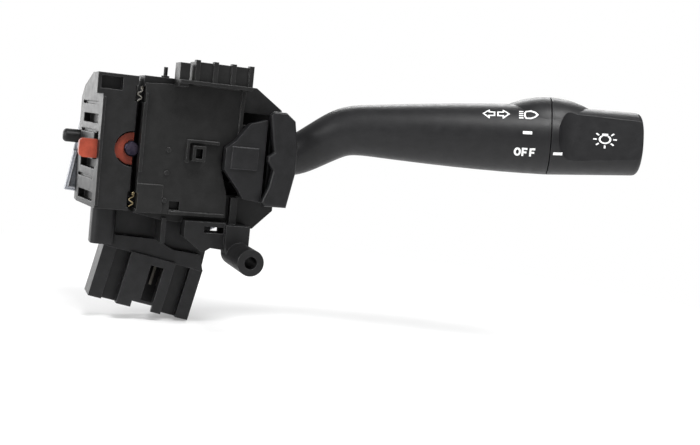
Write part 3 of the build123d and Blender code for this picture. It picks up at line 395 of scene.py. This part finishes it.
def stroke(points, width, closed=False):
    """Flat ribbon along a line of points: its left and right edges, with mitred corners."""
    left, right = [], []
    count = len(points)
    for i, p in enumerate(points):
        if closed:
            before, after = points[i - 1], points[(i + 1) % count]
        else:
            before, after = points[max(i - 1, 0)], points[min(i + 1, count - 1)]
        a = (p - before).normalized() if (p - before).length else (after - p).normalized()
        b = (after - p).normalized() if (after - p).length else a
        side = Vector((-(a + b).y, (a + b).x))
        side = side.normalized() if side.length > 1e-6 else Vector((-a.y, a.x))
        reach = width / 2 / max(0.5, side.dot(Vector((-a.y, a.x))))
        left.append(p + side * reach)
        right.append(p - side * reach)
    return left, right


def finer(points, step, closed=False):
    """The same line with no piece longer than a step."""
    out = []
    pairs = list(zip(points, points[1:] + points[:1])) if closed else list(zip(points, points[1:]))
    for a, b in pairs:
        pieces = max(1, int((b - a).length / step + 0.999))
        out.extend(a.lerp(b, k / pieces) for k in range(pieces))
    if not closed:
        out.append(points[-1])
    return out


def mark(name, node, body, centre, lines):
    """A printed mark wrapped on the lever. Each of its lines is (points, closed, width)."""
    station, angle = centre[0], radians(centre[1])
    mesh = bmesh.new()
    for points, closed, width in lines:
        path = finer([Vector(p) for p in points], PRINT_STEP, closed)
        left, right = stroke(path, width, closed)
        rings = []
        for a, b in zip(left, right):
            row = []
            for q in (a, a.lerp(b, 0.5), b):
                place = on_surface(node, station + q.x, angle + q.y / GRIP_RADIUS)
                row.append(mesh.verts.new(place))
            rings.append(row)
        following = rings[1:] + rings[:1] if closed else rings[1:]
        for first, second in zip(rings, following):
            for k in (0, 1):
                mesh.faces.new((first[k], first[k + 1], second[k + 1], second[k]))
    item = as_object(mesh, name, INK)
    for face in item.data.polygons:
        face.use_smooth = True
    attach(item, body)


def arc(cx, cy, rx, ry, start, end, count=14):
    """Points round an ellipse between two angles in degrees."""
    return [(cx + rx * cos(radians(start + (end - start) * k / count)),
             cy + ry * sin(radians(start + (end - start) * k / count))) for k in range(count + 1)]


def letter_f(x):
    """The letter F in strokes, with its stem at x."""
    return [([(x, -1.52), (x, 1.52)], False, LETTER_STROKE),
            ([(x - 0.36, 1.17), (x + 1.6, 1.17)], False, LETTER_STROKE),
            ([(x, -0.08), (x + 1.35, -0.08)], False, LETTER_STROKE)]


def headlamp():
    """Outline of a headlamp with four beams to its left."""
    glass = [(-0.85, 1.6), (0.7, 1.6), (2.1, 0.95), (3.05, 0), (2.1, -0.95), (0.7, -1.6), (-0.85, -1.6),
             (-1.3, -0.9), (-1.4, 0), (-1.3, 0.9)]
    beams = [([(-3.4, 1.5 - 1.0 * k), (-1.9, 1.5 - 1.0 * k)], False, LINE_STROKE) for k in range(4)]
    return [(glass, True, 0.55)] + beams


def two_arrows():
    """Outlines of an arrow to the right and its mirror image."""
    arrow = [(4.5, 0), (2.5, 1.8), (2.5, 0.85), (0.6, 0.85), (0.6, -0.85), (2.5, -0.85), (2.5, -1.8)]
    return [(arrow, True, LINE_STROKE), ([(-x, y) for x, y in arrow], True, LINE_STROKE)]


def lit_bulb():
    """A bulb with its cap and seven rays."""
    middle_y = -0.2
    centre = Vector((0, middle_y))
    lines = [(arc(0, middle_y, 1.85, 1.85, -236, 56, 28), False, 0.62),
             ([(-1.05, 1.95), (1.05, 1.95)], False, 1.1)]
    for degrees in (0, 42, 138, 180, 222, 270, 318):
        way = Vector((cos(radians(degrees)), sin(radians(degrees))))
        lines.append(([tuple(way * 2.85 + centre), tuple(way * 4.1 + centre)], False, 0.6))
    return lines


letter_o = [(arc(-2.55, 0, 0.88, 1.17, 0, 360, 24)[:-1], True, LETTER_STROKE)]
dash = [([(-1.6, 0), (1.6, 0)], False, DASH_STROKE)]

mark("mark_off", "stalk", "lever", OFF_AT, letter_o + letter_f(-0.72) + letter_f(1.98))
mark("mark_park", "stalk", "lever", PARK_AT, dash)
mark("mark_headlamp", "stalk", "lever", HEADLAMP_AT, headlamp())
mark("mark_turn", "stalk", "lever", TURN_AT, two_arrows())
mark("mark_pointer", "knob", "knob", POINTER_AT, dash)
mark("mark_lamps", "knob", "knob", LAMPS_AT, lit_bulb())


# ---------------------------------------------------------------- rim behind the lever's shield
RIM_LAP = 1.5
RIM_DEPTH = 3.5
RIM_WALL = 1.1
RIM_EASE = 0.3


def rim_loop(inset):
    """Outline of the rim in x and z, in metres, moved in by an inset in millimetres."""
    low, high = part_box("lever_shield")
    left, right = low.x + (2.5 + inset) * MM, high.x - (1.2 + inset) * MM
    bottom, top = low.z + (1.2 + inset) * MM, high.z - (1.2 + inset) * MM
    height = top - bottom
    return [(left, bottom), (left, top), (left + 2.3 * MM, top), (right - 1.6 * MM, top - 2.3 * MM),
            (right, bottom + 0.64 * height), (right, bottom + 0.36 * height), (right - 2.0 * MM, bottom)]


def shield_rim():
    """Moulded rim behind the shield that closes the gap in front of the bay."""
    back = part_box("lever_shield")[1].y
    profile = ((0.0, -RIM_LAP), (0.0, RIM_DEPTH - RIM_EASE), (RIM_EASE, RIM_DEPTH),
               (RIM_WALL - RIM_EASE, RIM_DEPTH), (RIM_WALL, RIM_DEPTH - RIM_EASE), (RIM_WALL, -RIM_LAP))
    mesh = bmesh.new()
    rings = []
    for inset, depth in profile:
        rings.append([mesh.verts.new((x, back + depth * MM, z)) for x, z in rim_loop(inset)])
    close_rings(mesh, rings)
    item = as_object(mesh, "shield_rim", BRACKET_BLACK)
    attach(item, "lever")


shield_rim()


# ---------------------------------------------------------------- collar inside the seam of the lever
COLLAR_BORE = 8.2
COLLAR_START = -0.1
COLLAR_END = 0.32
COLLAR_UNDER = 0.8
CHAMFER_ALONG = 0.1
CHAMFER_IN = 0.2


def seam_collar():
    """Ring in the seam between the stalk and the knob, so that no light shows through it."""
    count = 64
    beside_seam = SEAM_AT - 0.6
    centre = (STALK_START + AXIS * beside_seam) * MM
    turns = [2 * pi * k / count for k in range(count)]
    reach = [(on_surface("stalk", beside_seam, turn, 0.0) - centre).length / MM for turn in turns]
    deeper = COLLAR_UNDER + CHAMFER_IN
    profile = ((COLLAR_START, None), (COLLAR_START, deeper), (COLLAR_START + CHAMFER_ALONG, COLLAR_UNDER),
               (COLLAR_END - CHAMFER_ALONG, COLLAR_UNDER), (COLLAR_END, deeper), (COLLAR_END, None))
    mesh = bmesh.new()
    rings = []
    for along, under in profile:
        ring = []
        for turn, far in zip(turns, reach):
            radius = COLLAR_BORE if under is None else far - under
            place = STALK_START + AXIS * (SEAM_AT + along) + outward(turn) * radius
            ring.append(mesh.verts.new(place * MM))
        rings.append(ring)
    close_rings(mesh, rings)
    item = as_object(mesh, "seam_collar", STALK_BLACK)
    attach(item, "lever")


seam_collar()


# ---------------------------------------------------------------- leaf springs beside the cancel unit
LEAF_HEIGHT = 5.6 * MM
LEAF_GAUGE = 0.36 * MM
LEAF_SWING = 0.42
LEAF_HALF_WAVES = 3.4
LEAF_RISE = 0.78
LEAF_CURL = 0.16


def leaf_line(count=30):
    """Side view of one bent leaf, from 0 to 1 both ways: a foot, two waves and a curled tip."""
    wave = []
    for k in range(count + 1):
        swing = LEAF_SWING * cos(LEAF_HALF_WAVES * pi * k / count) * (0.75 + 0.25 * k / count)
        wave.append((0.5 - swing, 0.04 + LEAF_RISE * k / count))
    x, z = wave[-1]
    curl = [(x + LEAF_CURL - LEAF_CURL * cos(pi * k / 8), z + 0.14 * sin(pi * k / 8)) for k in range(1, 9)]
    return wave + curl


def leaf_springs():
    """Two smoothly bent leaves in place of the CAD's straight-sided ones."""
    low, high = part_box("leaf_springs")
    mesh = bmesh.new()
    for place, base in enumerate((high.z - LEAF_HEIGHT, low.z)):
        path = [Vector((low.x + (0.12 + 0.76 * u) * (high.x - low.x), base + v * LEAF_HEIGHT))
                for u, v in leaf_line()]
        left, right = stroke(path, LEAF_GAUGE)
        rings = []
        for a, b in zip(left, right):
            rings.append([mesh.verts.new((q.x, y, q.y)) for q, y in
                          ((a, low.y), (b, low.y), (b, high.y), (a, high.y))])
        faces = [mesh.faces.new((a[i], a[(i + 1) % 4], b[(i + 1) % 4], b[i]))
                 for a, b in zip(rings, rings[1:]) for i in range(4)]
        faces += [mesh.faces.new(rings[0]), mesh.faces.new(rings[-1])]
        for face in faces:
            face.material_index = place
    bmesh.ops.recalc_face_normals(mesh, faces=mesh.faces)
    item = as_object(mesh, "bent_leaves", LEAF_STEEL, LEAF_GOLD)
    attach(item, "base")
    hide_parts("leaf_springs")


leaf_springs()


# ---------------------------------------------------------------- floor, light and camera
low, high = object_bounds()
middle = (low + high) / 2
FLOOR_Z = low.z - 0.4 * MM
FLOOR_RINGS = [0.05 * 1.35**k for k in range(15)]
FLOOR_SEGMENTS = 64
SOFT_LIGHT = 0.32


def floor_disc():
    """Round floor in rings that grow wider outwards."""
    disc = bmesh.new()
    hub = disc.verts.new((middle.x, middle.y, FLOOR_Z))
    turns = [2 * pi * k / FLOOR_SEGMENTS for k in range(FLOOR_SEGMENTS)]
    previous = None
    for radius in FLOOR_RINGS:
        ring = [disc.verts.new((middle.x + radius * cos(turn), middle.y + radius * sin(turn), FLOOR_Z))
                for turn in turns]
        for k in range(FLOOR_SEGMENTS):
            beside = (k + 1) % FLOOR_SEGMENTS
            if previous:
                disc.faces.new((previous[k], previous[beside], ring[beside], ring[k]))
            else:
                disc.faces.new((hub, ring[k], ring[beside]))
        previous = ring
    bmesh.ops.recalc_face_normals(disc, faces=disc.faces)
    return as_object(disc, "floor")


def white_paper():
    """Paper that shows shadows near the object and glows white farther out, but only where it is seen."""
    s = Shader("paper_floor")
    s.set(Roughness=0.8, Specular_IOR_Level=0.1)
    s.join(s.ramp(s.noise(30, 3.0), ((0.3, (0.90, 0.90, 0.90)), (0.7, (0.93, 0.93, 0.93)))),
           s.bsdf.inputs["Base Color"])
    glow = s.tree.nodes.new("ShaderNodeEmission")
    glow.inputs["Color"].default_value = (1, 1, 1, 1)
    rays = s.tree.nodes.new("ShaderNodeLightPath")
    shift = s.tree.nodes.new("ShaderNodeVectorMath")
    shift.operation = "DISTANCE"
    s.join(s.coord, shift.inputs[0])
    shift.inputs[1].default_value = (middle.x, middle.y, FLOOR_Z)
    far = s.remap(shift.outputs["Value"], 0.25, 1.0, 0.06, 0.26)
    indirect = s.maths("MAXIMUM", rays.outputs["Is Glossy Ray"], rays.outputs["Is Transmission Ray"])
    seen = s.maths("MAXIMUM", rays.outputs["Is Camera Ray"], indirect)
    blend = s.tree.nodes.new("ShaderNodeMixShader")
    s.join(s.maths("MULTIPLY", far, seen), blend.inputs[0])
    s.join(s.bsdf.outputs[0], blend.inputs[1])
    s.join(glow.outputs[0], blend.inputs[2])
    s.join(blend.outputs[0], s.out.inputs[0])
    return s.material


def studio_world():
    """World that looks white but lights the object softly."""
    world = bpy.data.worlds.new("studio")
    bpy.context.scene.world = world
    world.use_nodes = True
    tree = world.node_tree
    tree.nodes.clear()
    world_out = tree.nodes.new("ShaderNodeOutputWorld")
    whites = []
    for strength in (SOFT_LIGHT, 1.0):
        white = tree.nodes.new("ShaderNodeBackground")
        white.inputs["Color"].default_value = (1, 1, 1, 1)
        white.inputs["Strength"].default_value = strength
        whites.append(white)
    rays = tree.nodes.new("ShaderNodeLightPath")
    seen = tree.nodes.new("ShaderNodeMath")
    seen.operation = "MAXIMUM"
    tree.links.new(rays.outputs["Is Camera Ray"], seen.inputs[0])
    tree.links.new(rays.outputs["Is Transmission Ray"], seen.inputs[1])
    choose = tree.nodes.new("ShaderNodeMixShader")
    tree.links.new(seen.outputs[0], choose.inputs[0])
    tree.links.new(whites[0].outputs[0], choose.inputs[1])
    tree.links.new(whites[1].outputs[0], choose.inputs[2])
    tree.links.new(choose.outputs[0], world_out.inputs[0])


def lamp_panel(name, place, size, power):
    """Soft area light aimed at the object."""
    data = bpy.data.lights.new(name, "AREA")
    data.shape = "RECTANGLE"
    data.size, data.size_y = size
    data.energy = power
    item = bpy.data.objects.new(name, data)
    item.location = place
    item.rotation_mode = "QUATERNION"
    item.rotation_quaternion = (middle - Vector(place)).to_track_quat("-Z", "Y")
    bpy.context.scene.collection.objects.link(item)


def photo_camera(place, target, roll, lens):
    """Camera at a place, aimed at a target and rolled about its line of sight."""
    data = bpy.data.cameras.new("camera")
    camera = bpy.data.objects.new("camera", data)
    bpy.context.scene.collection.objects.link(camera)
    bpy.context.scene.camera = camera
    data.lens = lens
    data.sensor_width = 36.0
    data.clip_start = 0.01
    data.clip_end = 20.0
    camera.location = Vector(place) * MM
    aim = Vector(target) * MM
    look = (aim - camera.location).to_track_quat("-Z", "Y")
    camera.rotation_mode = "QUATERNION"
    camera.rotation_quaternion = look @ Quaternion((0, 0, 1), roll)


floor = floor_disc()
floor.data.materials.append(white_paper())
studio_world()
lamp_panel("key", (0.10, -0.45, 0.80), (0.55, 0.30), 9.0)
lamp_panel("fill", (-0.80, -0.22, 0.30), (0.35, 0.5), 5.0)
lamp_panel("rim", (0.35, 0.65, 0.55), (0.6, 0.35), 4.5)
lamp_panel("side", (-0.42, 0.75, 0.16), (0.4, 0.5), 2.8)
photo_camera((-90.7, -322.3, 49.4), (39.0, 12.0, 15.0), roll=radians(6.1), lens=51.0)

bpy.context.scene.view_settings.view_transform = "Standard"
